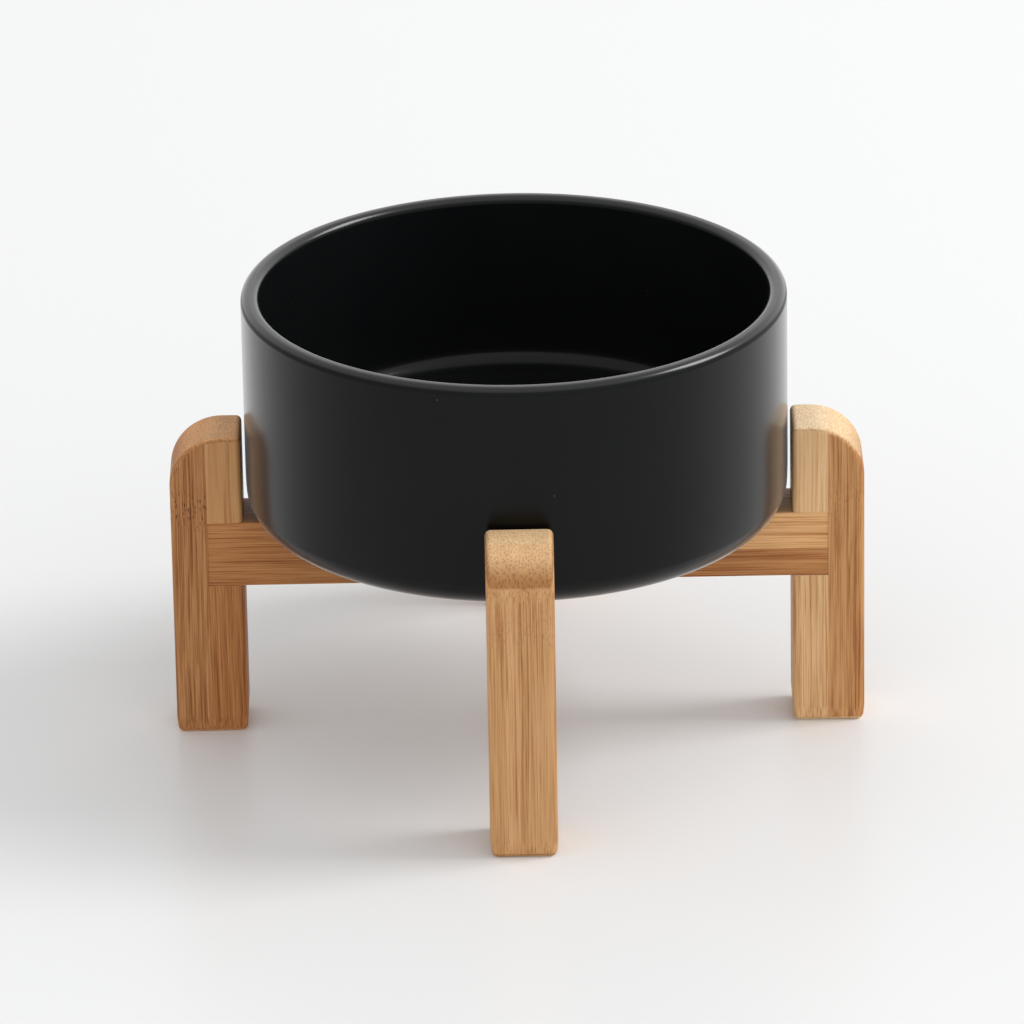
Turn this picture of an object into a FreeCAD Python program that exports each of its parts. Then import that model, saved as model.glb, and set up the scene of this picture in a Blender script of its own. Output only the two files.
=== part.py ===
"""Raised feeding bowl for a dog: a glazed ceramic bowl that sits loose in a bamboo cross stand.

The stand is two frames. Each frame is a rail with a leg at either end, and the two rails cross
under the bowl in a halved joint, so that one frame lifts off the other. A rail is two strips of
bamboo, one on the other. A leg is a full-height stave outside, with a post and a foot glued to
its inner side, above and below the end of the rail.

Frame: millimetres, +Z up, origin on the floor under the middle of the bowl, +X along the lower rail.
"""

import FreeCAD, Part
import math
import os

import Sketcher
from FreeCAD import Placement, Rotation, Vector

SIZES = (
    # Bowl
    ("bowl_diameter", 155.0, "across the outside of the wall"),
    ("bowl_height", 67.0, "from the foot ring to the rim"),
    ("wall_thickness", 5.3, "wall at the rim"),
    ("wall_draft", 1.2, "how much the inside narrows from the rim to the floor"),
    ("base_draw_in", 1.8, "how much the outside narrows at the foot"),
    ("base_draw_height", 18.0, "height over which the outside draws in"),
    ("base_round", 9.5, "round from the wall to the foot ring"),
    ("foot_ring_width", 5.2, "flat ring that the bowl stands on"),
    ("foot_ring_round", 1.2, "inner edge of the foot ring"),
    ("recess_depth", 8.5, "hollow under the bowl, inside the foot ring"),
    ("recess_round", 3.0, "inner corner of that hollow"),
    ("floor_thickness", 7.2, "floor of the bowl over the hollow"),
    ("floor_round", 5.0, "round from the inner wall to the floor"),
    ("rim_outer_round", 2.3, "outer edge of the rim"),
    ("rim_inner_round", 2.3, "inner edge of the rim"),
    # Rails
    ("rail_thickness", 18.6, "across a rail"),
    ("rail_upper_height", 11.0, "upper strip of a rail"),
    ("rail_lower_height", 8.5, "lower strip of a rail"),
    ("rail_edge_round", 0.4, "long outer edges of a rail"),
    ("lap_gap", 0.25, "room on each side of a rail in the halved joint"),
    # Legs
    ("leg_width", 19.0, "across a leg"),
    ("foot_height", 45.8, "from the floor to the underside of a rail"),
    ("post_height", 26.9, "from the top of a rail to the top of a leg"),
    ("stave_thickness", 10.4, "outer layer of a leg"),
    ("block_thickness", 10.2, "inner layer of a leg: the post and the foot"),
    ("post_gap", 1.0, "room between the bowl's wall and a post"),
    ("shoulder_radius", 15.0, "rounded outer shoulder at the top of a leg"),
    ("leg_edge_round", 1.6, "sanded edges of a leg"),
    # Dowels
    ("dowel_diameter", 6.0, "dowel at the end of a rail"),
    ("dowel_in_rail", 18.0, "how far a dowel reaches into the rail"),
    ("dowel_cover", 3.0, "wood left between a dowel's bore and the outside of the stave"),
    ("dowel_gap", 0.1, "room round a dowel in its bore"),
    ("dowel_end_gap", 0.4, "room at each end of a dowel"),
    ("dowel_chamfer", 0.8, "chamfer at each end of a dowel"),
)

# Heights above the floor.
LAP_LEVEL = "(sizes.foot_height + sizes.rail_lower_height)"
RAIL_TOP = f"({LAP_LEVEL} + sizes.rail_upper_height)"
LEG_TOP = f"({RAIL_TOP} + sizes.post_height)"
DOWEL_LEVEL = f"({LAP_LEVEL} + sizes.rail_upper_height / 2)"
DRAW_LEVEL = f"({RAIL_TOP} + sizes.base_draw_height)"
RECESS_LEVEL = f"({RAIL_TOP} + sizes.recess_depth)"
FLOOR_LEVEL = f"({RECESS_LEVEL} + sizes.floor_thickness)"
RIM_LEVEL = f"({RAIL_TOP} + sizes.bowl_height)"

# Distances from the bowl's axis.
WALL_OUTSIDE = "(sizes.bowl_diameter / 2)"
WALL_INSIDE = f"({WALL_OUTSIDE} - sizes.wall_thickness)"
FLOOR_EDGE = f"({WALL_INSIDE} - sizes.wall_draft)"
BASE_EDGE = f"({WALL_OUTSIDE} - sizes.base_draw_in)"
RECESS_EDGE = f"({BASE_EDGE} - sizes.base_round - sizes.foot_ring_width)"
POST_FACE = f"({WALL_OUTSIDE} + sizes.post_gap)"
GLUE_LINE = f"({POST_FACE} + sizes.block_thickness)"
LEG_FACE = f"({GLUE_LINE} + sizes.stave_thickness)"
LAP_SIDE = "(sizes.rail_thickness / 2 + sizes.lap_gap)"
FAR_GLUE_LINE = f"-{GLUE_LINE}"

# The outside draws in along an arc that starts upright, so its middle is level with that start.
DRAW_RADIUS = "((sizes.base_draw_in^2 + sizes.base_draw_height^2) / (2 * sizes.base_draw_in))"
DRAW_MIDDLE = f"({WALL_OUTSIDE} - {DRAW_RADIUS})"

# The shoulder's round is no wider than the leg is deep.
SHOULDER = "min(sizes.shoulder_radius; sizes.stave_thickness + sizes.block_thickness)"
SHOULDER_START = f"({LEG_FACE} - {SHOULDER})"
SHOULDER_END = f"({LEG_TOP} - {SHOULDER})"

# The rim's two rounds share the wall between them, and each keeps to its part of it.
RIM_SHARE = 0.45
RIM_OUTER_ROUND = f"min(sizes.rim_outer_round; {RIM_SHARE} * sizes.wall_thickness)"
RIM_INNER_ROUND = f"min(sizes.rim_inner_round; {RIM_SHARE} * sizes.wall_thickness)"

# A dowel and its bores, measured along the rail.
DOWEL_OUTER_END = f"({LEG_FACE} - sizes.dowel_cover - sizes.dowel_end_gap)"
DOWEL_INNER_END = f"({GLUE_LINE} - sizes.dowel_in_rail)"
DOWEL_LENGTH = f"({DOWEL_OUTER_END} - {DOWEL_INNER_END})"
BORE_RADIUS = "(sizes.dowel_diameter / 2 + sizes.dowel_gap)"
BORE_IN_STAVE = f"({LEG_FACE} - sizes.dowel_cover)"
BORE_IN_RAIL = "(sizes.dowel_in_rail + sizes.dowel_end_gap)"

SAME_PLACE = 1e-4

doc = FreeCAD.newDocument("raised_dog_bowl")


def fill_sheet():
    """The driving sizes, one to a row: name, millimetres, meaning."""
    sheet = doc.addObject("Spreadsheet::Sheet", "sizes")
    for row, (alias, value, meaning) in enumerate(SIZES, start=1):
        sheet.set(f"A{row}", alias)
        sheet.set(f"B{row}", str(value))
        sheet.setAlias(f"B{row}", alias)
        sheet.set(f"C{row}", meaning)
    doc.recompute()
    return sheet


sizes = fill_sheet()


def length(expression):
    """An expression of the sheet's sizes as a number of millimetres."""
    return float(sizes.evalExpression(expression))


def same(a, b):
    return abs(a - b) < SAME_PLACE


def new_body(label, turn=0):
    """An empty body that is drawn along +X and then turned about the bowl's axis."""
    body = doc.addObject("PartDesign::Body", label)
    body.Label = label
    body.Placement = Placement(Vector(), Rotation(Vector(0, 0, 1), turn))
    return body


def origin_plane(body, role):
    return next(feature for feature in body.Origin.OriginFeatures if feature.Role == role)


def new_sketch(body, role, name, offset=None):
    """A sketch on one of the body's origin planes, or at an offset along the plane's normal."""
    sketch = body.newObject("Sketcher::SketchObject", name)
    sketch.AttachmentSupport = (origin_plane(body, role), [""])
    sketch.MapMode = "FlatFace"
    if offset is not None:
        sketch.setExpression("AttachmentOffset.Base.z", offset)
    return sketch


def place_point(sketch, geometry, point, x, y):
    """Ties a point of the sketch to the sheet. A zero puts it on the axis."""
    for kind, axis, expression in (("DistanceX", -2, x), ("DistanceY", -1, y)):
        if expression == "0":
            sketch.addConstraint(Sketcher.Constraint("PointOnObject", geometry, point, axis))
        elif expression is not None:
            row = sketch.addConstraint(
                Sketcher.Constraint(kind, -1, 1, geometry, point, length(expression))
            )
            sketch.setExpression(f"Constraints[{row}]", expression)


def draw_outline(sketch, corners, arc_middles=None):
    """A closed outline through corners given as pairs of expressions.

    arc_middles gives the sides that are arcs, by the number of the corner where they start, with
    the point that they turn about, anticlockwise. Its level and the corners fix such an arc.
    """
    arc_middles = arc_middles or {}
    points = [Vector(length(x), length(y), 0) for x, y in corners]
    following = points[1:] + points[:1]
    for side, (start, end) in enumerate(zip(points, following)):
        if side in arc_middles:
            middle = Vector(*(length(part) for part in arc_middles[side]), 0)
            circle = Part.Circle(middle, Vector(0, 0, 1), start.distanceToPoint(middle))
            angles = [math.atan2(p.y - middle.y, p.x - middle.x) for p in (start, end)]
            sketch.addGeometry(Part.ArcOfCircle(circle, *angles))
        else:
            sketch.addGeometry(Part.LineSegment(start, end))
    for side, (x, y) in enumerate(corners):
        following_side = (side + 1) % len(corners)
        sketch.addConstraint(Sketcher.Constraint("Coincident", side, 2, following_side, 1))
        place_point(sketch, side, 1, x, y)
        if side in arc_middles:
            place_point(sketch, side, 3, None, arc_middles[side][1])
    doc.recompute()
    if not sketch.FullyConstrained:
        raise RuntimeError(f"{sketch.Label} is not fully constrained")


def draw_rectangle(sketch, left, right, bottom, top):
    draw_outline(sketch, ((left, bottom), (right, bottom), (right, top), (left, top)))


def draw_circle(sketch, radius, x, y):
    circle = Part.Circle(Vector(length(x), length(y), 0), Vector(0, 0, 1), length(radius))
    sketch.addGeometry(circle)
    place_point(sketch, 0, 3, x, y)
    row = sketch.addConstraint(Sketcher.Constraint("Radius", 0, length(radius)))
    sketch.setExpression(f"Constraints[{row}]", radius)
    doc.recompute()


def pad(body, sketch, distance, both_sides=True):
    feature = body.newObject("PartDesign::Pad", "Pad")
    feature.Profile = sketch
    feature.SideType = "Symmetric" if both_sides else "One side"
    feature.setExpression("Length", distance)
    doc.recompute()
    return feature


def pocket(body, sketch, distance=None, along_normal=False):
    """Cuts against the sketch's normal, along it, or, with no distance, right through both ways."""
    before = body.Shape.Volume
    feature = body.newObject("PartDesign::Pocket", "Pocket")
    feature.Profile = sketch
    if distance is None:
        feature.SideType = "Symmetric"
        feature.Type = "ThroughAll"
    else:
        feature.Reversed = along_normal
        feature.setExpression("Length", distance)
    doc.recompute()
    if body.Shape.Volume >= before:
        raise RuntimeError(f"{body.Label}: a cut took nothing away")
    return feature


def edge_names(shape, wanted):
    return [f"Edge{number}" for number, edge in enumerate(shape.Edges, start=1) if wanted(edge)]


def round_edges(body, wanted, radius, kind="PartDesign::Fillet", size="Radius"):
    """Rounds, or chamfers, the edges of the body's last feature that are wanted."""
    base = body.Tip
    names = edge_names(base.Shape, wanted)
    if not names:
        raise RuntimeError(f"{body.Label}: no edge to round")
    feature = body.newObject(kind, kind.split("::")[1])
    feature.Base = (base, names)
    feature.setExpression(size, radius)
    doc.recompute()
    return feature


def circle_at(radius, level):
    """Picks the circle about the bowl's axis with this radius at this level."""

    def wanted(edge):
        box = edge.BoundBox
        return same(box.ZMin, level) and same(box.ZMax, level) and same(box.XMax, radius)

    return wanted


def make_bowl():
    """One revolved section, with the hollow under the floor, and each of its corners rounded."""
    body = new_body("bowl")
    section = new_sketch(body, "XZ_Plane", "bowl_section")
    corners = (
        ("0", RECESS_LEVEL),
        (RECESS_EDGE, RECESS_LEVEL),
        (RECESS_EDGE, RAIL_TOP),
        (BASE_EDGE, RAIL_TOP),
        (WALL_OUTSIDE, DRAW_LEVEL),
        (WALL_OUTSIDE, RIM_LEVEL),
        (WALL_INSIDE, RIM_LEVEL),
        (FLOOR_EDGE, FLOOR_LEVEL),
        ("0", FLOOR_LEVEL),
    )
    draw_outline(section, corners, arc_middles={3: (DRAW_MIDDLE, DRAW_LEVEL)})
    turned = body.newObject("PartDesign::Revolution", "Revolution")
    turned.Profile = section
    turned.ReferenceAxis = (section, ["V_Axis"])
    turned.Angle = 360
    doc.recompute()
    rounds = (
        (WALL_OUTSIDE, RIM_LEVEL, RIM_OUTER_ROUND),
        (WALL_INSIDE, RIM_LEVEL, RIM_INNER_ROUND),
        (FLOOR_EDGE, FLOOR_LEVEL, "sizes.floor_round"),
        (BASE_EDGE, RAIL_TOP, "sizes.base_round"),
        (RECESS_EDGE, RAIL_TOP, "sizes.foot_ring_round"),
        (RECESS_EDGE, RECESS_LEVEL, "sizes.recess_round"),
    )
    for radius, level, round_size in rounds:
        round_edges(body, circle_at(length(radius), length(level)), round_size)
    return body


def cut_shoulder(body):
    """Takes the outer top corner of a leg off to a quarter round."""
    corner = new_sketch(body, "XZ_Plane", "shoulder")
    corners = ((LEG_FACE, SHOULDER_END), (SHOULDER_START, LEG_TOP), (LEG_FACE, LEG_TOP))
    draw_outline(corner, corners, arc_middles={0: (SHOULDER_START, SHOULDER_END)})
    pocket(body, corner)


def sanded(face, ends, joint=None):
    """Picks a leg piece's edges to sand: all those on its two sides but the glued ones, and those
    across its open upright face at the given levels. The joint is the level where it meets the rail."""
    half_width = length("sizes.leg_width / 2")
    glue_line = length(GLUE_LINE)

    def wanted(edge):
        box = edge.BoundBox
        level = same(box.ZMin, box.ZMax)
        on_side = same(box.YMin, box.YMax) and same(abs(box.YMin), half_width)
        on_glue_line = same(box.XMin, glue_line) and same(box.XMax, glue_line)
        on_joint = joint is not None and level and same(box.ZMin, joint)
        on_face = same(box.XMin, face) and same(box.XMax, face)
        across_end = on_face and level and any(same(box.ZMin, end) for end in ends)
        return across_end or (on_side and not on_glue_line and not on_joint)

    return wanted


def make_stave(label, turn):
    """Outer layer of a leg, from the floor to the shoulder, with the blind bore for its dowel."""
    body = new_body(label, turn)
    side = new_sketch(body, "XZ_Plane", "stave_side")
    draw_rectangle(side, GLUE_LINE, LEG_FACE, "0", LEG_TOP)
    pad(body, side, "sizes.leg_width")
    cut_shoulder(body)
    round_edges(body, sanded(length(LEG_FACE), (0.0,)), "sizes.leg_edge_round")
    bore = new_sketch(body, "YZ_Plane", "dowel_bore")
    draw_circle(bore, BORE_RADIUS, "0", DOWEL_LEVEL)
    pocket(body, bore, BORE_IN_STAVE, along_normal=True)
    return body


def make_post(label, turn):
    """Upper inner block of a leg. It stands on the rail, and a wide shoulder runs into its top."""
    body = new_body(label, turn)
    side = new_sketch(body, "XZ_Plane", "post_side")
    draw_rectangle(side, POST_FACE, GLUE_LINE, RAIL_TOP, LEG_TOP)
    pad(body, side, "sizes.leg_width")
    if length(SHOULDER) > length("sizes.stave_thickness"):
        cut_shoulder(body)
    joint, top = length(RAIL_TOP), length(LEG_TOP)
    round_edges(body, sanded(length(POST_FACE), (joint, top), joint), "sizes.leg_edge_round")
    return body


def make_foot(label, turn):
    """Lower inner block of a leg, which carries the end of the rail."""
    body = new_body(label, turn)
    side = new_sketch(body, "XZ_Plane", "foot_side")
    draw_rectangle(side, POST_FACE, GLUE_LINE, "0", "sizes.foot_height")
    pad(body, side, "sizes.leg_width")
    joint = length("sizes.foot_height")
    round_edges(body, sanded(length(POST_FACE), (0.0,), joint), "sizes.leg_edge_round")
    return body


def long_edges_at(level):
    """Picks a strip's two long edges at this level."""
    half_thickness = length("sizes.rail_thickness / 2")

    def wanted(edge):
        box = edge.BoundBox
        on_side = same(box.YMin, box.YMax) and same(abs(box.YMin), half_thickness)
        return on_side and same(box.ZMin, level) and same(box.ZMax, level)

    return wanted


def make_strip(label, turn, inner_end, bottom, top, outer_level):
    """One strip of a rail, from inner_end to the glue line, its two long outer edges rounded."""
    body = new_body(label, turn)
    side = new_sketch(body, "XZ_Plane", "strip_side")
    draw_rectangle(side, inner_end, GLUE_LINE, bottom, top)
    pad(body, side, "sizes.rail_thickness")
    round_edges(body, long_edges_at(length(outer_level)), "sizes.rail_edge_round")
    return body


def bore_rail_end(body):
    bore = new_sketch(body, "YZ_Plane", "dowel_bore", offset=GLUE_LINE)
    draw_circle(bore, BORE_RADIUS, "0", DOWEL_LEVEL)
    return pocket(body, bore, BORE_IN_RAIL)


def mirror_across(body, feature):
    """Repeats a feature at the other end of the rail."""
    mirrored = body.newObject("PartDesign::Mirrored", "Mirrored")
    mirrored.Originals = [feature]
    mirrored.MirrorPlane = (origin_plane(body, "YZ_Plane"), [""])
    body.Tip = mirrored
    doc.recompute()


def make_upper_strip(label, turn, inner_end):
    """Upper strip of a rail, bored for its dowel. One that runs through is bored at both ends."""
    body = make_strip(label, turn, inner_end, LAP_LEVEL, RAIL_TOP, RAIL_TOP)
    bore = bore_rail_end(body)
    if inner_end == FAR_GLUE_LINE:
        mirror_across(body, bore)
    return body


def make_lower_strip(label, turn, inner_end):
    """Lower strip of a rail."""
    return make_strip(label, turn, inner_end, "sizes.foot_height", LAP_LEVEL, "sizes.foot_height")


def make_dowel(label, turn):
    """Chamfered pin from the end of a rail into the stave."""
    body = new_body(label, turn)
    end = new_sketch(body, "YZ_Plane", "dowel_end", offset=DOWEL_INNER_END)
    draw_circle(end, "sizes.dowel_diameter / 2", "0", DOWEL_LEVEL)
    pad(body, end, DOWEL_LENGTH, both_sides=False)
    round_edges(
        body,
        lambda edge: same(edge.BoundBox.XMin, edge.BoundBox.XMax),
        "sizes.dowel_chamfer",
        kind="PartDesign::Chamfer",
        size="Size",
    )
    return body


# Which way each leg stands, turned about the bowl's axis from +X.
LEG_TURNS = {"right": 0, "back": 90, "left": 180, "front": 270}


def make_stand():
    bodies = []
    for side, turn in LEG_TURNS.items():
        bodies.append(make_stave(f"{side}_stave", turn))
        bodies.append(make_post(f"{side}_post", turn))
        bodies.append(make_foot(f"{side}_foot", turn))
        bodies.append(make_dowel(f"{side}_dowel", turn))
    # The lower rail runs left to right, and its upper strip is cut away for the other rail.
    bodies.append(make_lower_strip("lower_rail_base", 0, FAR_GLUE_LINE))
    for side in ("left", "right"):
        bodies.append(make_upper_strip(f"lower_rail_cap_{side}", LEG_TURNS[side], LAP_SIDE))
    # The upper rail runs front to back, and its lower strip is cut away for the other rail.
    bodies.append(make_upper_strip("upper_rail_cap", LEG_TURNS["back"], FAR_GLUE_LINE))
    for side in ("front", "back"):
        bodies.append(make_lower_strip(f"upper_rail_base_{side}", LEG_TURNS[side], LAP_SIDE))
    return bodies


def write_parts(bodies):
    """Checks every object and every solid, then writes one file for each piece."""
    doc.recompute()
    for item in doc.Objects:
        if {"Invalid", "Error"} & set(item.State):
            raise RuntimeError(f"{item.Label} failed: {item.State}")
    for body in bodies:
        shape = body.Shape
        if shape.isNull() or not shape.isValid() or len(shape.Solids) != 1:
            raise RuntimeError(f"{body.Label} is not one valid solid")
    os.makedirs("parts", exist_ok=True)
    for body in bodies:
        body.Shape.exportStep(f"parts/{body.Label}.step")


write_parts([make_bowl()] + make_stand())
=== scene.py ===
"""Looks of the raised dog bowl: a satin black ceramic bowl in a cross stand of glued-up bamboo.

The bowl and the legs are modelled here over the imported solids. The rails and the dowels keep their
solids and get a finish. Metres, +Z up, origin on the floor under the middle of the bowl.
"""

import math

import bpy
from mathutils import Matrix, Vector


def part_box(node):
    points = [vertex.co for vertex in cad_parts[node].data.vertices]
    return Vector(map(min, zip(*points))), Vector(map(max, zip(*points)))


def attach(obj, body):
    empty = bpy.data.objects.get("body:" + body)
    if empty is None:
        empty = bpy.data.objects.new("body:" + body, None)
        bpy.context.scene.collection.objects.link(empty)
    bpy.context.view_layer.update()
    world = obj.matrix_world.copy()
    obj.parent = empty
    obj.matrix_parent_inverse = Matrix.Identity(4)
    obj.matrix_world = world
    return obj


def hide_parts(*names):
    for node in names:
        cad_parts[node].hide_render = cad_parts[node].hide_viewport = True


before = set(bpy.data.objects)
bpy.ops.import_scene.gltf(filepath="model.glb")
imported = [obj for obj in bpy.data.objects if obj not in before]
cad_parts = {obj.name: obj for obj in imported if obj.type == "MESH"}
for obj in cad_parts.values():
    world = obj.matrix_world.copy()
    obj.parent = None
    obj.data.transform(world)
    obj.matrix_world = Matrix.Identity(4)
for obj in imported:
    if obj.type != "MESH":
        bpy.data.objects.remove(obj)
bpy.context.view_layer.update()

# Where things are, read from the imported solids.
STAVE_LOW, STAVE_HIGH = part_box("right_stave")
POST_LOW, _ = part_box("right_post")
_, FOOT_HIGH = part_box("right_foot")
BOWL_LOW, BOWL_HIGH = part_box("bowl")
DOWEL_LOW, DOWEL_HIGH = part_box("right_dowel")
POST_FACE, GLUE_LINE, LEG_FACE = POST_LOW.x, STAVE_LOW.x, STAVE_HIGH.x
LEG_HALF_WIDTH = STAVE_HIGH.y
LEG_TOP, RAIL_TOP, FOOT_TOP = STAVE_HIGH.z, POST_LOW.z, FOOT_HIGH.z
RIM_LEVEL, BOWL_FOOT = BOWL_HIGH.z, BOWL_LOW.z
WALL_OUTSIDE = BOWL_HIGH.x


# Modelling by hand

NEAR = 1e-5
SAME_PLACE = 1e-6
ROUNDED_ANGLE = math.radians(40)
FLAT_FACE_WEIGHT = 90


def pick(piece):
    """Makes the piece the active one and the only one that is selected."""
    bpy.ops.object.select_all(action="DESELECT")
    bpy.context.view_layer.objects.active = piece
    piece.select_set(True)


def start_editing(piece):
    pick(piece)
    bpy.ops.object.mode_set(mode="EDIT")


def stop_editing():
    bpy.ops.object.mode_set(mode="OBJECT")


def select_in(piece, kind, wanted):
    """Selects the vertices, edges or faces that lie where wanted, in the edit mode that is on."""
    modes = {"vertices": "VERT", "edges": "EDGE", "polygons": "FACE"}
    bpy.ops.mesh.select_all(action="DESELECT")
    bpy.ops.mesh.select_mode(type=modes[kind])
    bpy.ops.object.mode_set(mode="OBJECT")
    mesh = piece.data
    for item in getattr(mesh, kind):
        if kind == "vertices":
            item.select = wanted(item.co)
        else:
            item.select = all(wanted(mesh.vertices[v].co) for v in item.vertices)
    bpy.ops.object.mode_set(mode="EDIT")


def round_edges(piece, wanted, radius, steps):
    """Rounds the edges that lie where wanted, in the edit mode that is on."""
    select_in(piece, "edges", wanted)
    bpy.ops.mesh.bevel(offset=radius, segments=steps, affect="EDGES", profile=0.5)


def add_block(name, low, high):
    bpy.ops.object.select_all(action="DESELECT")
    bpy.ops.mesh.primitive_cube_add(size=1, location=(low + high) / 2, scale=high - low)
    bpy.ops.object.transform_apply(location=True, rotation=True, scale=True)
    block = bpy.context.object
    block.name = block.data.name = name
    return block


def copy_of(piece, name):
    made = piece.copy()
    made.data = piece.data.copy()
    made.name = made.data.name = name
    bpy.context.scene.collection.objects.link(made)
    return made


def apply_modifier(piece, kind, **settings):
    pick(piece)
    modifier = piece.modifiers.new(kind.title(), kind)
    for name, value in settings.items():
        setattr(modifier, name, value)
    bpy.ops.object.modifier_apply(modifier=modifier.name)


def saw(piece, place, normal):
    """Cuts the piece by a plane, drops what lies on the normal's side and closes the cut."""
    start_editing(piece)
    bpy.ops.mesh.select_all(action="SELECT")
    bpy.ops.mesh.bisect(plane_co=place, plane_no=normal, use_fill=True, clear_outer=True)
    stop_editing()


def smooth(piece):
    """Smooth shading that keeps flat faces flat and rounds only the rounded edges."""
    pick(piece)
    bpy.ops.object.shade_smooth_by_angle(angle=ROUNDED_ANGLE)
    apply_modifier(piece, "WEIGHTED_NORMAL", keep_sharp=True, weight=FLAT_FACE_WEIGHT)


# Bowl

WALL_THICKNESS = 0.0053
WALL_DRAFT = 0.0012
BASE_DRAW_IN = 0.0018
BASE_DRAW_HEIGHT = 0.018
FOOT_RING_WIDTH = 0.0052
RECESS_DEPTH = 0.0085
FLOOR_THICKNESS = 0.0072
RECESS_LEVEL = BOWL_FOOT + RECESS_DEPTH
FLOOR_LEVEL = RECESS_LEVEL + FLOOR_THICKNESS

# Rounds of the section, each with its steps, and the steps of the spin.
RECESS_ROUND, RECESS_STEPS = 0.003, 6
FOOT_RING_ROUND, FOOT_RING_STEPS = 0.0012, 5
BASE_ROUND, BASE_STEPS = 0.0095, 16
DRAW_ROUND_SHARE, DRAW_STEPS = 0.9, 10
RIM_ROUND, RIM_STEPS = 0.0023, 10
FLOOR_ROUND, FLOOR_STEPS = 0.005, 10
SPIN_STEPS = 240


def draw_section(corners):
    """A line of edges through the corners, drawn from one vertex that is extruded on and on."""
    bpy.ops.object.select_all(action="DESELECT")
    bpy.ops.mesh.primitive_plane_add(size=0.01)
    section = bpy.context.object
    bpy.ops.object.mode_set(mode="EDIT")
    bpy.ops.mesh.select_all(action="SELECT")
    bpy.ops.mesh.merge(type="CENTER")
    bpy.ops.transform.translate(value=corners[0])
    for start, end in zip(corners, corners[1:]):
        bpy.ops.mesh.extrude_vertices_move(TRANSFORM_OT_translate={"value": end - start})
    stop_editing()
    return section


def round_corner(section, before, corner, after, radius, steps):
    """Rounds one corner of the section to a radius, by the length of the round's tangents."""
    turn = (corner - before).angle(after - corner)
    start_editing(section)
    select_in(section, "vertices", lambda co: (co - corner).length < NEAR)
    bpy.ops.mesh.bevel(
        offset=radius * math.tan(turn / 2), segments=steps, affect="VERTICES", profile=0.5
    )
    stop_editing()


def spin_bowl():
    """The bowl's section, from the middle of its underside to that of its floor, spun round."""
    base_edge = WALL_OUTSIDE - BASE_DRAW_IN
    recess_edge = base_edge - BASE_ROUND - FOOT_RING_WIDTH
    wall_inside = WALL_OUTSIDE - WALL_THICKNESS
    # The wall draws in by an arc, tangent to the upright wall and to the line down to the foot.
    draw_radius = (BASE_DRAW_IN**2 + BASE_DRAW_HEIGHT**2) / (2 * BASE_DRAW_IN)
    draw_turn = math.asin(BASE_DRAW_HEIGHT / draw_radius)
    draw_corner = BOWL_FOOT + BASE_DRAW_HEIGHT - draw_radius * math.tan(draw_turn / 2)
    corners = [
        Vector((0, 0, RECESS_LEVEL)),
        Vector((recess_edge, 0, RECESS_LEVEL)),
        Vector((recess_edge, 0, BOWL_FOOT)),
        Vector((base_edge, 0, BOWL_FOOT)),
        Vector((WALL_OUTSIDE, 0, draw_corner)),
        Vector((WALL_OUTSIDE, 0, RIM_LEVEL)),
        Vector((wall_inside, 0, RIM_LEVEL)),
        Vector((wall_inside - WALL_DRAFT, 0, FLOOR_LEVEL)),
        Vector((0, 0, FLOOR_LEVEL)),
    ]
    rounds = [
        (RECESS_ROUND, RECESS_STEPS),
        (FOOT_RING_ROUND, FOOT_RING_STEPS),
        (BASE_ROUND, BASE_STEPS),
        (draw_radius * DRAW_ROUND_SHARE, DRAW_STEPS),
        (RIM_ROUND, RIM_STEPS),
        (RIM_ROUND, RIM_STEPS),
        (FLOOR_ROUND, FLOOR_STEPS),
    ]
    bowl = draw_section(corners)
    bowl.name = bowl.data.name = "bowl_glazed"
    for (radius, steps), before, corner, after in zip(rounds, corners, corners[1:], corners[2:]):
        round_corner(bowl, before, corner, after, radius, steps)
    start_editing(bowl)
    bpy.ops.mesh.select_all(action="SELECT")
    bpy.ops.mesh.spin(steps=SPIN_STEPS, angle=2 * math.pi, center=(0, 0, 0), axis=(0, 0, 1))
    bpy.ops.mesh.select_all(action="SELECT")
    bpy.ops.mesh.remove_doubles(threshold=SAME_PLACE)
    bpy.ops.mesh.normals_make_consistent(inside=False)
    stop_editing()
    smooth(bowl)
    return bowl


# Legs

SHOULDER_RADIUS, SHOULDER_STEPS = 0.015, 28
SOLE_EASE_HEIGHT = 0.0050
SOLE_EASE = 0.0004
LEG_EDGE_ROUND, LEG_EDGE_STEPS = 0.0016, 6
LEG_EDGE_ANGLE = math.radians(35)
POST_HEEL_ROUND, POST_HEEL_STEPS = 0.0010, 4
HOUSING_EDGE_ROUND, HOUSING_EDGE_STEPS = 0.0002, 2
DOWEL_ROOM = 0.0001
DOWEL_COVER = 0.003
BORE_SIDES = 48


def ease_sole(leg):
    """Draws the sole in a little above the floor, in the edit mode that is on."""
    bpy.ops.mesh.select_all(action="SELECT")
    bpy.ops.mesh.bisect(plane_co=(0, 0, SOLE_EASE_HEIGHT), plane_no=(0, 0, 1))
    select_in(leg, "polygons", lambda co: co.z < NEAR)
    depth, width = LEG_FACE - POST_FACE, 2 * LEG_HALF_WIDTH
    bpy.ops.transform.resize(
        value=(1 - 2 * SOLE_EASE / depth, 1 - 2 * SOLE_EASE / width, 1),
        center_override=((POST_FACE + LEG_FACE) / 2, 0, 0),
    )


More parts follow.
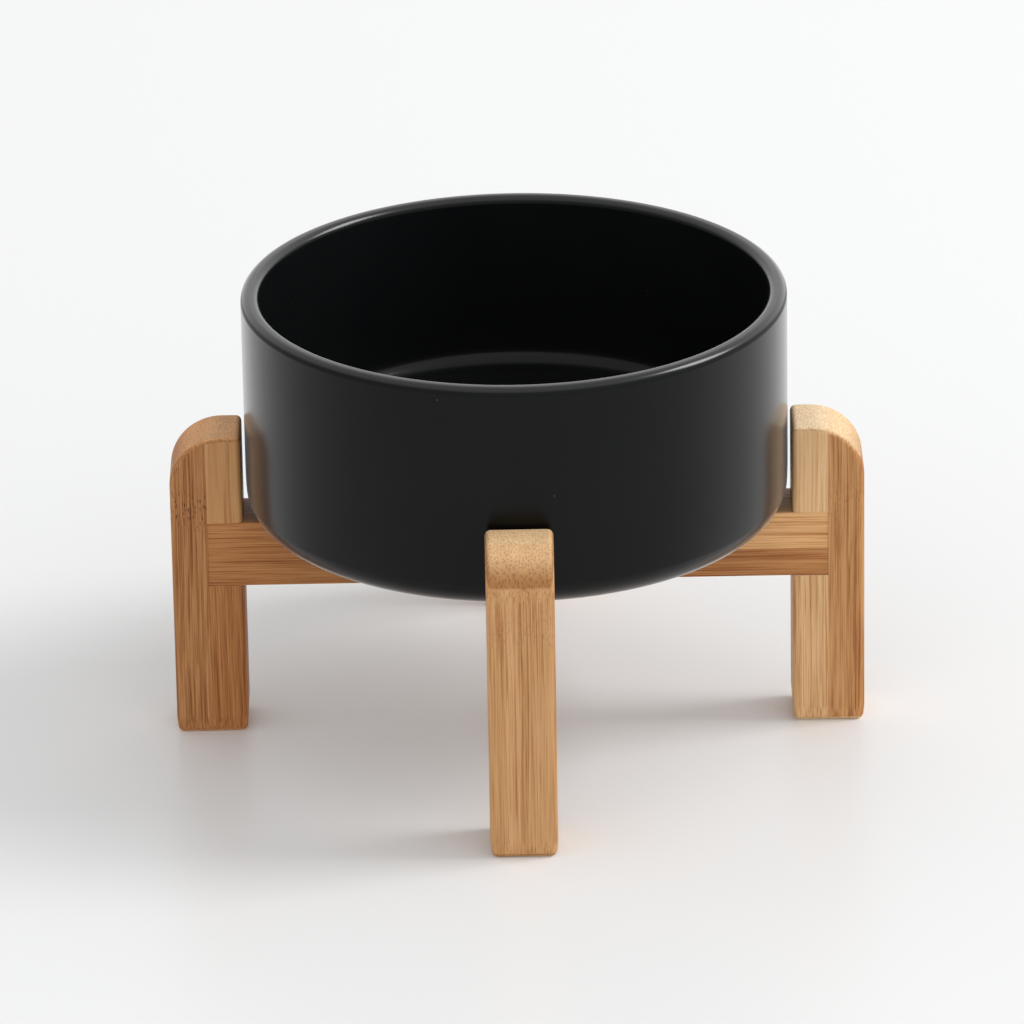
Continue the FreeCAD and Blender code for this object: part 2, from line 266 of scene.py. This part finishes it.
def shape_leg():
    """A whole leg along +X: a block, its shoulder rounded, its sole eased and its edges sanded."""
    leg = add_block(
        "leg",
        Vector((POST_FACE, -LEG_HALF_WIDTH, 0)),
        Vector((LEG_FACE, LEG_HALF_WIDTH, LEG_TOP)),
    )
    start_editing(leg)
    round_edges(
        leg,
        lambda co: co.x > LEG_FACE - NEAR and co.z > LEG_TOP - NEAR,
        SHOULDER_RADIUS,
        SHOULDER_STEPS,
    )
    ease_sole(leg)
    stop_editing()
    apply_modifier(
        leg,
        "BEVEL",
        width=LEG_EDGE_ROUND,
        segments=LEG_EDGE_STEPS,
        limit_method="ANGLE",
        angle_limit=LEG_EDGE_ANGLE,
    )
    return leg


def round_heel(post):
    """Rounds the post's lower edge on the bowl's side, where it stands on the rail."""
    start_editing(post)
    round_edges(
        post,
        lambda co: co.z < RAIL_TOP + NEAR and co.x < POST_FACE + NEAR,
        POST_HEEL_ROUND,
        POST_HEEL_STEPS,
    )
    stop_editing()


def ease_housing(piece, level):
    """Breaks the sharp edges that the saw left where the piece meets the rail."""
    start_editing(piece)
    round_edges(
        piece,
        lambda co: abs(co.z - level) < NEAR and co.x < GLUE_LINE - NEAR,
        HOUSING_EDGE_ROUND,
        HOUSING_EDGE_STEPS,
    )
    stop_editing()


def bore_for_dowel(stave):
    """The blind hole for the rail's dowel."""
    radius = (DOWEL_HIGH.y - DOWEL_LOW.y) / 2 + DOWEL_ROOM
    deep_end = LEG_FACE - DOWEL_COVER
    bpy.ops.object.select_all(action="DESELECT")
    bpy.ops.mesh.primitive_cylinder_add(
        vertices=BORE_SIDES,
        radius=radius,
        depth=2 * (deep_end - GLUE_LINE),
        location=(GLUE_LINE, 0, (DOWEL_LOW.z + DOWEL_HIGH.z) / 2),
        rotation=(0, math.pi / 2, 0),
    )
    bit = bpy.context.object
    apply_modifier(stave, "BOOLEAN", operation="DIFFERENCE", object=bit, solver="EXACT")
    bpy.data.objects.remove(bit)


def saw_leg(leg):
    """The leg's three pieces, sawn from the whole so that they stay flush along the glue lines."""
    stave, post, foot = (copy_of(leg, name) for name in ("stave", "post", "foot"))
    saw(stave, (GLUE_LINE, 0, 0), (-1, 0, 0))
    bore_for_dowel(stave)
    saw(post, (GLUE_LINE, 0, 0), (1, 0, 0))
    saw(post, (0, 0, RAIL_TOP), (0, 0, -1))
    round_heel(post)
    ease_housing(post, RAIL_TOP)
    saw(foot, (GLUE_LINE, 0, 0), (1, 0, 0))
    saw(foot, (0, 0, FOOT_TOP), (0, 0, 1))
    ease_housing(foot, FOOT_TOP)
    bpy.data.objects.remove(leg)
    return {"stave": stave, "post": post, "foot": foot}


def turn_piece(piece, degrees):
    piece.data.transform(Matrix.Rotation(math.radians(degrees), 4, "Z"))
    piece.data.update()


# Nodes of a finish

# Sockets of a mix node when it mixes colours.
MIX_SHARE, MIX_FIRST, MIX_SECOND, MIX_RESULT = 0, 6, 7, 2

# Results for a range that ends in nothing.
FALLING = (1.0, 0.0)


def fill_sockets(tree, node, inputs):
    """Sets the node's inputs, by name or place, to a value or to a socket that is linked in."""
    for name, value in inputs.items():
        socket = node.inputs[name]
        if isinstance(value, bpy.types.NodeSocket):
            tree.links.new(value, socket)
        else:
            socket.default_value = value


def add_node(tree, kind, inputs=None, **settings):
    node = tree.nodes.new(kind)
    for name, value in settings.items():
        setattr(node, name, value)
    fill_sockets(tree, node, inputs or {})
    return node


def new_material(name):
    material = bpy.data.materials.new(name)
    material.use_nodes = True
    tree = material.node_tree
    return material, tree, tree.nodes["Principled BSDF"]


def maths(tree, operation, *values):
    node = add_node(tree, "ShaderNodeMath", dict(enumerate(values)), operation=operation)
    return node.outputs[0]


def plus(tree, first, second):
    return maths(tree, "ADD", first, second)


def minus(tree, first, second):
    return maths(tree, "SUBTRACT", first, second)


def times(tree, first, second):
    return maths(tree, "MULTIPLY", first, second)


def height_of(tree, place):
    return add_node(tree, "ShaderNodeSeparateXYZ", {"Vector": place}).outputs["Z"]


def stretch(tree, place, repeats):
    """Coordinates scaled for a pattern: repeats to the metre across and along the grain."""
    across, along = repeats
    scaled = {"Vector": place, "Scale": (across, across, along)}
    return add_node(tree, "ShaderNodeMapping", scaled).outputs[0]


def streaks(tree, place, repeats, detail, roughness=0.5):
    noise = {
        "Vector": stretch(tree, place, repeats),
        "Scale": 1.0,
        "Detail": detail,
        "Roughness": roughness,
    }
    return add_node(tree, "ShaderNodeTexNoise", noise).outputs["Fac"]


def ranged(tree, value, limits, results=(0.0, 1.0)):
    """Takes a value between the limits smoothly to one between the results."""
    inputs = {
        "Value": value,
        "From Min": limits[0],
        "From Max": limits[1],
        "To Min": results[0],
        "To Max": results[1],
    }
    node = add_node(tree, "ShaderNodeMapRange", inputs, interpolation_type="SMOOTHSTEP")
    return node.outputs[0]


def ramp(tree, value, stops):
    node = add_node(tree, "ShaderNodeValToRGB", {"Fac": value})
    elements = node.color_ramp.elements
    while len(elements) < len(stops):
        elements.new(0.5)
    for element, (place, colour) in zip(elements, stops):
        element.position = place
        element.color = (*colour, 1)
    return node.outputs["Color"]


def blend(tree, kind, share, first, second):
    """Two colours in one, each a socket or its red, green and blue."""
    first, second = (
        colour if isinstance(colour, bpy.types.NodeSocket) else (*colour, 1)
        for colour in (first, second)
    )
    inputs = {MIX_SHARE: share, MIX_FIRST: first, MIX_SECOND: second}
    node = add_node(tree, "ShaderNodeMix", inputs, data_type="RGBA", blend_type=kind)
    return node.outputs[MIX_RESULT]


def relief(tree, height, strength, distance):
    inputs = {"Strength": strength, "Distance": distance, "Height": height}
    return add_node(tree, "ShaderNodeBump", inputs).outputs[0]


def dress(piece, material):
    piece.data.materials.clear()
    piece.data.materials.append(material)


# Bamboo

# How the pattern is turned so that the fibres run along its Z.
GRAIN_TURNS = {"Z": (0, 0, 0), "X": (0, math.pi / 2, 0), "Y": (math.pi / 2, 0, 0)}

# Repeats to the metre across and along the fibres.
DRIFT_REPEATS = (40, 16)
TONE_REPEATS = (330, 5)
FIBRE_REPEATS = (2000, 30)
LINE_REPEATS = (2150, 24)
GLINT_REPEATS = (2600, 19)
BUNDLE_REPEATS = (1050, 1)
KNOT_WAVE_REPEATS = (90, 60)
KNOT_DASH_REPEATS = (2000, 520)

# Long grain: how far the fibres drift sideways, and how tones, dark lines and pale glints show.
FIBRE_DRIFT = 0.0010
TONE_SHARE, FIBRE_SHARE = 0.30, 0.70
DARK_AT, MIDDLE_AT, LIGHT_AT = 0.36, 0.5, 0.64
LIGHTER, DARKER = (1.13, 1.20, 1.32), (0.76, 0.65, 0.52)
LINE_LIMITS, LINE_STRENGTH, LINE_STAIN = (0.56, 0.64), 0.70, (0.72, 0.54, 0.37)
GLINT_LIMITS, GLINT_STRENGTH = (0.34, 0.42), 0.35

# End grain: from what slope it shows, how raggedly it starts, and its dots and mottle.
END_LIMITS, END_RAGGEDNESS = (0.31, 0.37), 0.12
# Painted light and shade: the end grain goes from paler where it faces up to darker round the
# shoulder, partly where the cut runs out and partly painted shade.
RUNOUT_AND_SHADE_LIMITS = (0.40, 0.94)
DOT_LIMITS, DOT_STRENGTH, DOT_STAIN = (0.16, 0.36), 0.50, (0.62, 0.42, 0.25)
DOT_SCATTER = 0.8
MOTTLE_LIMITS, MOTTLE = (0.35, 0.65), (0.86, 1.10)

# Knot line: its level, how far it waves and reaches, its dashes and the darker specks in them.
KNOT_LEVEL = 0.069
KNOT_WAVE = 0.014
KNOT_REACH = (0.002, 0.008)
DASH_LIMITS, DASH_STRENGTH, DASH_STAIN = (0.20, 0.44), 0.9, (0.50, 0.33, 0.21)
SPECK_LIMITS, SPECK_STRENGTH, SPECK_STAIN = (0.84, 0.88), 0.8, (0.25, 0.16, 0.11)

# The oiled surface
WOOD_ROUGHNESS, FIBRE_ROUGHNESS, END_ROUGHNESS = 0.38, 0.22, 0.10
FIBRE_RELIEF, LINE_RELIEF, DOT_RELIEF = 0.5, 0.35, 0.5
WOOD_RELIEF = {"strength": 0.35, "distance": 0.00012}
WOOD_SHINE = 0.3


def drifting(tree, wood):
    """The fibres' coordinates, which drift a little sideways along the cane."""
    noise = {"Vector": stretch(tree, wood, DRIFT_REPEATS), "Scale": 1.0, "Detail": 1.0}
    drift = add_node(tree, "ShaderNodeTexNoise", noise).outputs["Color"]
    kind = "ShaderNodeVectorMath"
    aside = add_node(tree, kind, {0: drift, 1: (0.5, 0.5, 0.5)}, operation="SUBTRACT").outputs[0]
    moved = {0: aside, 1: (FIBRE_DRIFT, FIBRE_DRIFT, 0), 2: wood}
    return add_node(tree, kind, moved, operation="MULTIPLY_ADD").outputs[0]


def long_grain(tree, wood, mixed, lines, middle, figure):
    """Fibres cut along their length: their tones, the dark lines between them and pale glints."""
    light = tuple(part * more**figure for part, more in zip(middle, LIGHTER))
    dark = tuple(part * less**figure for part, less in zip(middle, DARKER))
    colour = ramp(tree, mixed, [(DARK_AT, dark), (MIDDLE_AT, middle), (LIGHT_AT, light)])
    stained = times(tree, lines, min(1.0, LINE_STRENGTH * figure))
    colour = blend(tree, "MULTIPLY", stained, colour, LINE_STAIN)
    glints = ranged(tree, streaks(tree, wood, GLINT_REPEATS, detail=1), GLINT_LIMITS, FALLING)
    return blend(tree, "MIX", times(tree, glints, GLINT_STRENGTH), colour, light)


def end_dots(tree, wood):
    """Bundles of fibre that are cut across."""
    cells = {
        "Vector": stretch(tree, wood, BUNDLE_REPEATS),
        "Scale": 1.0,
        "Randomness": DOT_SCATTER,
    }
    bundles = add_node(tree, "ShaderNodeTexVoronoi", cells, voronoi_dimensions="2D")
    return ranged(tree, bundles.outputs["Distance"], DOT_LIMITS, FALLING)


def end_grain(tree, dots, mixed, squarely, lit_and_shaded_ends):
    """Dots on a mottled ground, paler with painted light where it faces up and darker round the
    shoulder, partly where the cut runs out and partly painted shade.
    """
    runout_and_shade = ranged(tree, squarely, RUNOUT_AND_SHADE_LIMITS, FALLING)
    mottle = ranged(tree, mixed, MOTTLE_LIMITS, MOTTLE)
    # Painted light and shade: paler where the end grain faces up, darker as it turns away round the
    # shoulder.
    ground = blend(tree, "MIX", runout_and_shade, *lit_and_shaded_ends)
    scaled = {0: ground, "Scale": mottle}
    ground = add_node(tree, "ShaderNodeVectorMath", scaled, operation="SCALE").outputs[0]
    return blend(tree, "MULTIPLY", times(tree, dots, DOT_STRENGTH), ground, DOT_STAIN)


def knot_line(tree, wood, level, long_share, colour, knots):
    """The cane's knot line over a colour: crowded short dashes and a few dark specks."""
    ripple = minus(tree, streaks(tree, wood, KNOT_WAVE_REPEATS, detail=2), 0.5)
    waving = plus(tree, level, times(tree, ripple, KNOT_WAVE))
    gap = maths(tree, "ABSOLUTE", minus(tree, waving, KNOT_LEVEL))
    near = times(tree, ranged(tree, gap, KNOT_REACH, FALLING), long_share)
    scattered = {"Vector": stretch(tree, wood, KNOT_DASH_REPEATS), "Scale": 1.0}
    cells = add_node(tree, "ShaderNodeTexVoronoi", scattered)
    dashes = ranged(tree, cells.outputs["Distance"], DASH_LIMITS, FALLING)
    chance = add_node(tree, "ShaderNodeSeparateColor", {"Color": cells.outputs["Color"]})
    specks = times(tree, dashes, ranged(tree, chance.outputs["Red"], SPECK_LIMITS))
    for pattern, strength, stain in (
        (dashes, DASH_STRENGTH, DASH_STAIN),
        (specks, SPECK_STRENGTH, SPECK_STAIN),
    ):
        share = times(tree, times(tree, near, pattern), strength * knots)
        colour = blend(tree, "MULTIPLY", share, colour, stain)
    return colour


def bamboo(name, grain, middle, figure, shift, lit_and_shaded_ends=None, knots=0.0):
    """Oiled bamboo whose fibres run along one axis: lines along the grain, dots across it.

    figure is how strongly the lines show, and knots the knot line. The end colours are the end
    grain's: across the cut, paler with painted light where it faces up, and where it runs out round
    the shoulder, darker partly by the cut and partly by painted shade.
    """
    material, tree, shader = new_material(name)
    place = add_node(tree, "ShaderNodeTexCoord").outputs
    turn = GRAIN_TURNS[grain]
    turned = {"Vector": place["Object"], "Rotation": turn, "Location": shift}
    wood = drifting(tree, add_node(tree, "ShaderNodeMapping", turned).outputs[0])
    turned = {"Vector": place["Normal"], "Rotation": turn}
    facing = add_node(tree, "ShaderNodeMapping", turned, vector_type="VECTOR").outputs[0]

    tone = streaks(tree, wood, TONE_REPEATS, detail=2)
    fibre = streaks(tree, wood, FIBRE_REPEATS, detail=3, roughness=0.70)
    mixed = plus(tree, times(tree, tone, TONE_SHARE), times(tree, fibre, FIBRE_SHARE))
    lines = ranged(tree, streaks(tree, wood, LINE_REPEATS, detail=2), LINE_LIMITS)
    along = long_grain(tree, wood, mixed, lines, middle, figure)

    squarely = maths(tree, "ABSOLUTE", height_of(tree, facing))
    ragged = times(tree, minus(tree, fibre, 0.5), END_RAGGEDNESS)
    end = ranged(tree, plus(tree, squarely, ragged), END_LIMITS)
    dots = end_dots(tree, wood)
    across = end_grain(tree, dots, mixed, squarely, lit_and_shaded_ends or (middle, middle))
    colour = blend(tree, "MIX", end, along, across)
    if knots:
        level = height_of(tree, place["Object"])
        colour = knot_line(tree, wood, level, minus(tree, 1.0, end), colour, knots)

    rough = plus(tree, times(tree, fibre, FIBRE_ROUGHNESS), times(tree, end, END_ROUGHNESS))
    height = minus(tree, times(tree, fibre, FIBRE_RELIEF), times(tree, lines, LINE_RELIEF))
    height = minus(tree, height, times(tree, times(tree, dots, end), DOT_RELIEF))
    fill_sockets(tree, shader, {
        "Base Color": colour,
        "Roughness": plus(tree, rough, WOOD_ROUGHNESS),
        "Normal": relief(tree, height, **WOOD_RELIEF),
        "Specular IOR Level": WOOD_SHINE,
    })
    return material


# Glaze

# The darkest and the palest black, outside and from the rim inwards.
GLAZE_TONES = {
    "outside": ((0.0012, 0.0014, 0.0015), (0.0034, 0.0036, 0.0037)),
    "inside": ((0.0038, 0.0043, 0.0046), (0.0066, 0.0072, 0.0076)),
}
CLOUD_REPEATS, GLAZE_GRAIN_REPEATS, DUST_REPEATS = (38, 38), (2600, 2600), 95.0
DUST_LIMITS, DUST_STRENGTH, DUST_COLOUR = (0.010, 0.018), 0.6, (0.20, 0.19, 0.18)
GLAZE_ROUGHNESS, CLOUD_ROUGHNESS, GRAIN_ROUGHNESS, WORN_ROUGHNESS = 0.20, 0.05, 0.03, 0.22
GLAZE_RELIEF = {"strength": 0.12, "distance": 0.00002}
GLAZE_SHINE = 0.10

# Levels inside: where the thick glaze of the rim begins, and where what lies round the floor and
# the dulling by feeding end.
RIM_GLAZE_DEPTH, RIM_GLAZE_FULL = 0.0014, 0.0006
RIM_GLAZE_LEVELS = (RIM_LEVEL - RIM_GLAZE_DEPTH, RIM_LEVEL - RIM_GLAZE_FULL)
POOLED_LEVELS, POOLED_COAT = (0.0835, 0.0880), 0.3
WORN_LEVELS = (0.084, 0.100)

OUTSIDE_COAT = {
    "Coat Weight": 1.0,
    "Coat Roughness": 0.22,
    "Coat IOR": 1.15,
    "Sheen Weight": 0.26,
    "Sheen Roughness": 0.30,
}
INSIDE_COAT = {"Coat Roughness": 0.18, "Coat IOR": 1.5}


def black_glaze(side):
    """Satin black glaze with a faint pull of the kiln in it and a few specks of dust.

    Inside, feeding has dulled the foot of the wall, and the glaze lies thick on the rim and
    round the floor.
    """
    material, tree, shader = new_material(f"satin_black_glaze_{side}")
    place = add_node(tree, "ShaderNodeTexCoord").outputs["Object"]
    cloud = streaks(tree, place, CLOUD_REPEATS, detail=3)
    grain = streaks(tree, place, GLAZE_GRAIN_REPEATS, detail=2)
    scattered = {"Vector": place, "Scale": DUST_REPEATS}
    specks = add_node(tree, "ShaderNodeTexVoronoi", scattered).outputs["Distance"]
    dust = times(tree, ranged(tree, specks, DUST_LIMITS, FALLING), DUST_STRENGTH)
    colour = blend(tree, "MIX", cloud, *GLAZE_TONES[side])
    colour = blend(tree, "MIX", dust, colour, DUST_COLOUR)
    rough = plus(tree, times(tree, cloud, CLOUD_ROUGHNESS), times(tree, grain, GRAIN_ROUGHNESS))
    rough = plus(tree, rough, GLAZE_ROUGHNESS)
    if side == "inside":
        level = height_of(tree, place)
        worn = ranged(tree, level, WORN_LEVELS, FALLING)
        rough = plus(tree, rough, times(tree, worn, WORN_ROUGHNESS))
        pooled = ranged(tree, level, POOLED_LEVELS, (POOLED_COAT, 0.0))
        thick = plus(tree, ranged(tree, level, RIM_GLAZE_LEVELS), pooled)
        fill_sockets(tree, shader, {"Coat Weight": thick, **INSIDE_COAT})
    else:
        fill_sockets(tree, shader, OUTSIDE_COAT)
    fill_sockets(tree, shader, {
        "Base Color": colour,
        "Roughness": rough,
        "Normal": relief(tree, grain, **GLAZE_RELIEF),
        "Specular IOR Level": GLAZE_SHINE,
    })
    return material


def glaze_bowl(bowl):
    """One glaze on the outside, and another over the rim and down to the floor inside."""
    dress(bowl, black_glaze("outside"))
    bowl.data.materials.append(black_glaze("inside"))
    wall_middle = WALL_OUTSIDE - WALL_THICKNESS / 2
    for face in bowl.data.polygons:
        on_rim = face.center.z > RIM_LEVEL - RIM_ROUND
        within = face.center.z > RECESS_LEVEL + NEAR and face.center.xy.length < wall_middle
        face.material_index = 1 if on_rim or within else 0


# The bowl and the legs, over their solids

LEG_TURNS = {"right": 0, "back": 90, "left": 180, "front": 270}
LEG_BODIES = {
    "right": "lower_frame",
    "left": "lower_frame",
    "front": "upper_frame",
    "back": "upper_frame",
}

# The middle colour and the figure of each leg's stave, post and foot.
CANES = {
    "left": {
        "stave": ((0.423, 0.187, 0.061), 2.1),
        "post": ((0.530, 0.268, 0.102), 0.9),
        "foot": ((0.390, 0.155, 0.043), 2.3),
    },
    "right": {
        "stave": ((0.507, 0.242, 0.084), 1.9),
        "post": ((0.745, 0.465, 0.232), 0.75),
        "foot": ((0.670, 0.400, 0.186), 1.25),
    },
    "front": {
        "stave": ((0.538, 0.287, 0.116), 1.1),
        "post": ((0.610, 0.347, 0.157), 1.0),
        "foot": ((0.610, 0.347, 0.157), 1.0),
    },
    "back": {
        "stave": ((0.546, 0.281, 0.116), 1.3),
        "post": ((0.628, 0.364, 0.166), 1.0),
        "foot": ((0.596, 0.339, 0.149), 1.0),
    },
}
# The end grain's colour across the cut, paler with painted light from above where it faces up, and
# where the cut runs out round the shoulder, darker partly by its own colour and partly by painted
# shade.
END_LIT_AND_SHADED = {
    "left": ((0.78, 0.425, 0.195), (0.45, 0.19, 0.061)),
    "right": ((0.94, 0.71, 0.45), (0.63, 0.395, 0.193)),
    "front": ((0.77, 0.525, 0.29), (0.385, 0.175, 0.055)),
    "back": ((0.80, 0.52, 0.28), (0.46, 0.22, 0.075)),
}
# A stave's end grain is warmer than a post's, and only a stave has a knot line.
STAVE_END = (0.96, 0.90, 0.83)
KNOTS = {"left": 1.0, "right": 0.35, "front": 0.25, "back": 0.6}
# How far the pattern moves on from one leg to the next, so that no two are alike.
STAVE_SHIFT, BLOCK_SHIFT = (0.13, 0.07, 0), (0.31, 0.17, 0)


def make_bowl():
    bowl = spin_bowl()
    glaze_bowl(bowl)
    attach(bowl, "bowl")
    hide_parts("bowl")


def cane_for(side, part, number):
    """The bamboo of one piece of the leg with that number."""
    # The end grain's colours: a top paler with painted light, and a shoulder darker partly with
    # painted shade.
    across, runout_and_shade = END_LIT_AND_SHADED[side]
    step, knots = BLOCK_SHIFT, 0
    if part == "stave":
        across = tuple(channel * share for channel, share in zip(across, STAVE_END))
        step, knots = STAVE_SHIFT, KNOTS[side]
    shift = tuple(number * length for length in step)
    name = f"bamboo_{side}_{part}"
    return bamboo(name, "Z", *CANES[side][part], shift, (across, runout_and_shade), knots)


def make_legs():
    """Four legs of three pieces each, copied from one sawn leg and turned into place."""
    models = saw_leg(shape_leg())
    for model in models.values():
        smooth(model)
    for number, side in enumerate(CANES, start=1):
        for part, model in models.items():
            piece = copy_of(model, f"{side}_{part}_sanded")
            turn_piece(piece, LEG_TURNS[side])
            dress(piece, cane_for(side, part, number))
            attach(piece, LEG_BODIES[side])
            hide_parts(f"{side}_{part}")
    for model in models.values():
        bpy.data.objects.remove(model)


# The rails and the dowels, which keep their solids

# Each strip's grain, middle colour and figure.
STRIPS = {
    "lower_rail_base": ("X", (0.460, 0.198, 0.062), 1.6),
    "lower_rail_cap_left": ("X", (0.445, 0.183, 0.055), 1.6),
    "lower_rail_cap_right": ("X", (0.738, 0.403, 0.167), 1.4),
    "upper_rail_cap": ("Y", (0.512, 0.256, 0.096), 1.3),
    "upper_rail_base_front": ("Y", (0.480, 0.232, 0.088), 1.3),
    "upper_rail_base_back": ("Y", (0.480, 0.232, 0.088), 1.3),
}
STRIP_STEP, STRIP_PLACE = 0.23, (0.4, 0.2)
DOWELS = {"X": ("left_dowel", "right_dowel"), "Y": ("front_dowel", "back_dowel")}
DOWEL_COLOUR, DOWEL_FIGURE, DOWEL_SHIFT = (0.66, 0.44, 0.24), 0.8, (0.2, 0.9, 0.1)


def finish_rails():
    for number, (node, (grain, colour, figure)) in enumerate(STRIPS.items(), start=1):
        shift = (STRIP_STEP * number, *STRIP_PLACE)
        dress(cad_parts[node], bamboo(f"bamboo_{node}", grain, colour, figure, shift))
    for grain, nodes in DOWELS.items():
        wood = bamboo(f"dowel_wood_{grain}", grain, DOWEL_COLOUR, DOWEL_FIGURE, DOWEL_SHIFT)
        for node in nodes:
            dress(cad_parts[node], wood)


# Floor, light and camera

FLOOR_SIZE = 12
FLOOR_FINISH = {
    "Base Color": (0.861, 0.866, 0.869, 1),
    "Roughness": 0.32,
    "Specular IOR Level": 0.28,
}

ROOM_BRIGHT_WAY = Vector((0.36, -0.20, -0.91))
ROOM_DIM, ROOM_BRIGHT = 0.71, 1.62
WINDOW_AIM = Vector((0, 0, 0.06))
WINDOW_WAY = Vector((0.76, 0.07, 0.64))
WINDOW_DISTANCE = 4.5
WINDOW_SIZE = (1.65, 2.2)
WINDOW_POWER = 92

CAMERA_AIM = Vector((0, 0, 0.065))
CAMERA_DISTANCE = 2.46775
CAMERA_ELEVATION = math.radians(22.806)
CAMERA_AZIMUTH = math.radians(0.166)
CAMERA_ROLL = math.radians(-0.999)
CAMERA_SIDEWAYS, CAMERA_UPWARD = -0.001524, -0.001685
CAMERA_LENS, CAMERA_SENSOR = 302.79, 36
CAMERA_REACH = 100


def lay_floor():
    bpy.ops.object.select_all(action="DESELECT")
    bpy.ops.mesh.primitive_plane_add(size=FLOOR_SIZE)
    floor = bpy.context.object
    floor.name = "floor"
    material, tree, shader = new_material("pale_floor")
    fill_sockets(tree, shader, FLOOR_FINISH)
    dress(floor, material)


def light_room():
    """A white room, bright near the floor and to the right, with a broad window on the right."""
    world = bpy.data.worlds.new("white_room")
    bpy.context.scene.world = world
    world.use_nodes = True
    tree = world.node_tree
    way = add_node(tree, "ShaderNodeTexCoord").outputs["Generated"]
    ways = {0: way, 1: ROOM_BRIGHT_WAY}
    towards = add_node(tree, "ShaderNodeVectorMath", ways, operation="DOT_PRODUCT")
    glow = ranged(tree, towards.outputs["Value"], (-1, 1), (ROOM_DIM, ROOM_BRIGHT))
    fill_sockets(tree, tree.nodes["Background"], {"Color": (1, 1, 1, 1), "Strength": glow})
    spot = WINDOW_AIM + WINDOW_WAY.normalized() * WINDOW_DISTANCE
    bpy.ops.object.light_add(type="AREA", location=spot)
    window = bpy.context.object
    window.name = "window"
    window.rotation_euler = (spot - WINDOW_AIM).to_track_quat("Z", "Y").to_euler()
    window.data.shape = "RECTANGLE"
    window.data.size, window.data.size_y = WINDOW_SIZE
    window.data.energy = WINDOW_POWER


def set_camera():
    back = Vector((
        -math.sin(CAMERA_AZIMUTH) * math.cos(CAMERA_ELEVATION),
        -math.cos(CAMERA_AZIMUTH) * math.cos(CAMERA_ELEVATION),
        math.sin(CAMERA_ELEVATION),
    ))
    level_right = Vector((0, 0, 1)).cross(back).normalized()
    level_up = back.cross(level_right)
    right = math.cos(CAMERA_ROLL) * level_right + math.sin(CAMERA_ROLL) * level_up
    up = math.cos(CAMERA_ROLL) * level_up - math.sin(CAMERA_ROLL) * level_right
    spot = CAMERA_AIM + back * CAMERA_DISTANCE + right * CAMERA_SIDEWAYS + up * CAMERA_UPWARD
    turn = Matrix((right, up, back)).transposed()
    bpy.ops.object.camera_add(location=spot, rotation=turn.to_euler())
    camera = bpy.context.object
    camera.data.sensor_width = CAMERA_SENSOR
    camera.data.lens = CAMERA_LENS
    camera.data.clip_end = CAMERA_REACH
    bpy.context.scene.camera = camera


make_bowl()
make_legs()
finish_rails()
lay_floor()
light_room()
set_camera()
bpy.context.scene.view_settings.view_transform = "Standard"
